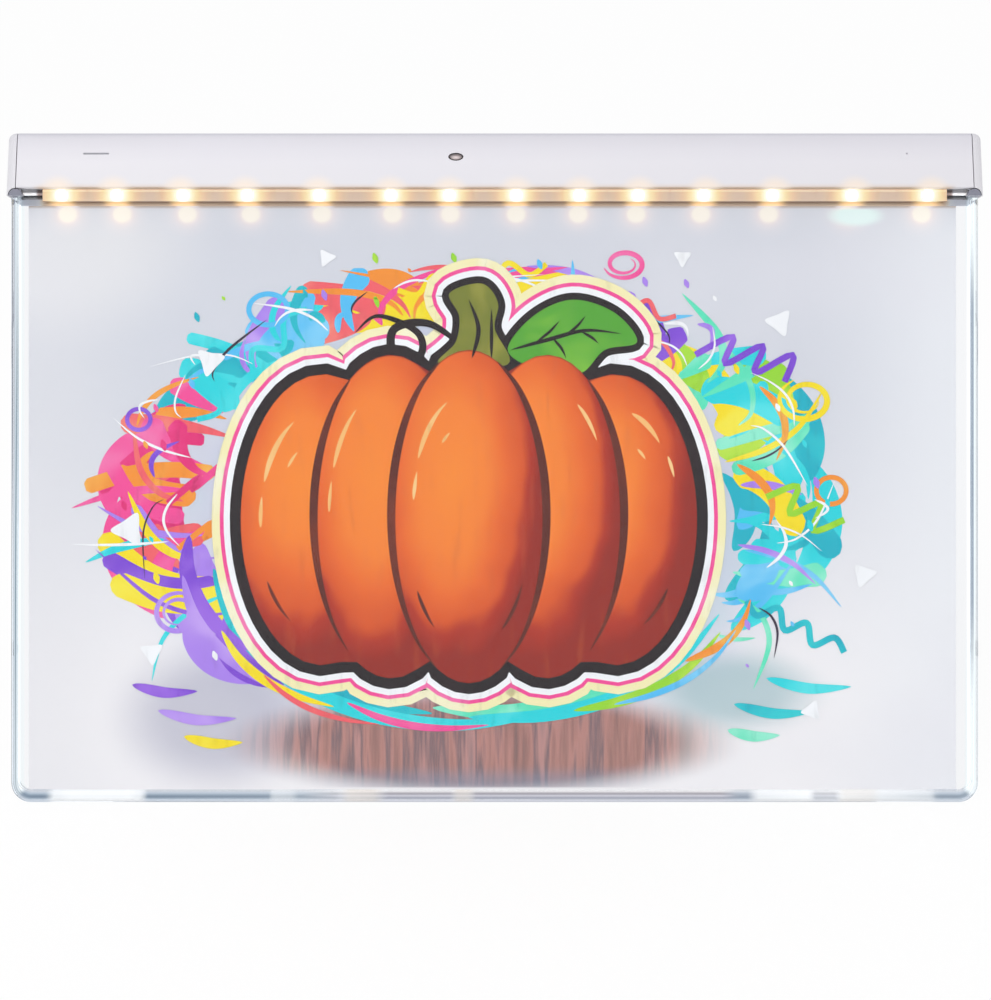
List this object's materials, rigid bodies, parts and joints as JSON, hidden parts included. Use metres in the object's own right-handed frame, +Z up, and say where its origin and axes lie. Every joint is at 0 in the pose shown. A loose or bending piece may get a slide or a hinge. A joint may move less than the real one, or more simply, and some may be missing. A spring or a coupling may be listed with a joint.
{
  "type": "led drawing board",
  "caption": "Clear rimmed drawing board under a white lamp housing with a warm LED row, a push button and a folding wire stand, leaning back as an easel.",
  "frame": {"origin": "middle of the part's footprint, on the surface that it stands on", "axes": "+X to the right along the lamp housing, +Y to the rear, where the wire stand's foot is, +Z up"},
  "size_m": [0.3002, 0.1214, 0.1948],
  "materials": {
    "clear_plastic": "polished clear moulding",
    "sheet_film": "hazy translucent film with a printed design",
    "housing_plastic": "smooth satin white moulding",
    "bush_plastic": "smooth grey moulding",
    "gasket_foam": "soft white foam",
    "strip_coating": "beige coated LED strip",
    "led_lens": "lit warm white",
    "button_plastic": "satin light moulding",
    "black_plastic": "matte black",
    "red_insulation": "wire insulation",
    "circuit_board": "green solder resist",
    "plated_steel": "nickel plated",
    "cell_jacket": "plain jacketed dry cell",
    "stand_wire": "bright plated wire",
    "foot_rubber": "pale grey soft sleeve"
  },
  "bodies": {
    "lamp_board": {"clear_board": "clear_plastic", "picture_sheet": "sheet_film", "front_shell": "housing_plastic", "rear_shell": "housing_plastic", "end_cap_left": "housing_plastic", "end_cap_right": "housing_plastic", "hinge_bush_left": "bush_plastic", "hinge_bush_right": "bush_plastic", "board_gasket": "gasket_foam", "led_strip_board": "strip_coating", "led_01": "led_lens", "led_02": "led_lens", "led_03": "led_lens", "led_04": "led_lens", "led_05": "led_lens", "led_06": "led_lens", "led_07": "led_lens", "led_08": "led_lens", "led_09": "led_lens", "led_10": "led_lens", "led_11": "led_lens", "led_12": "led_lens", "led_13": "led_lens", "led_14": "led_lens", "tact_switch": "black_plastic", "control_board": "circuit_board", "control_screw_1": "plated_steel", "control_screw_2": "plated_steel", "strip_lead_red": "red_insulation", "strip_lead_black": "black_plastic", "battery_lead_red": "red_insulation", "battery_lead_black": "black_plastic", "battery_cell_1": "cell_jacket", "battery_cell_2": "cell_jacket", "battery_cell_3": "cell_jacket", "contact_plate_minus": "plated_steel", "contact_plate_plus": "plated_steel", "contact_spring": "plated_steel", "housing_screw_1": "plated_steel", "housing_screw_2": "plated_steel", "housing_screw_3": "plated_steel", "housing_screw_4": "plated_steel", "end_cap_screw_left": "plated_steel", "end_cap_screw_right": "plated_steel"},
    "push_button": {"power_button": "button_plastic", "switch_plunger": "black_plastic"},
    "door": {"battery_door": "housing_plastic", "door_screw": "plated_steel"},
    "stand": {"wire_stand": "stand_wire", "stand_foot_left": "foot_rubber", "stand_foot_right": "foot_rubber"}
  },
  "joints": [
    {"name": "button_press", "type": "slide", "parent": "lamp_board", "child": "push_button", "axis": [0, 0.9397, -0.342], "range_m": [0, 0.0005], "stiffness_N_per_m": 400, "springref_m": -0.001},
    {"name": "door_lift_off", "type": "slide", "parent": "lamp_board", "child": "door", "axis": [0, 0.9397, -0.342], "range_m": [0, 0.012]},
    {"name": "stand_fold", "type": "hinge", "parent": "lamp_board", "child": "stand", "pos_m": [0, 0.0135, 0.17494], "axis": [1, 0, 0], "range_deg": [-35.2, 0]}
  ]
}
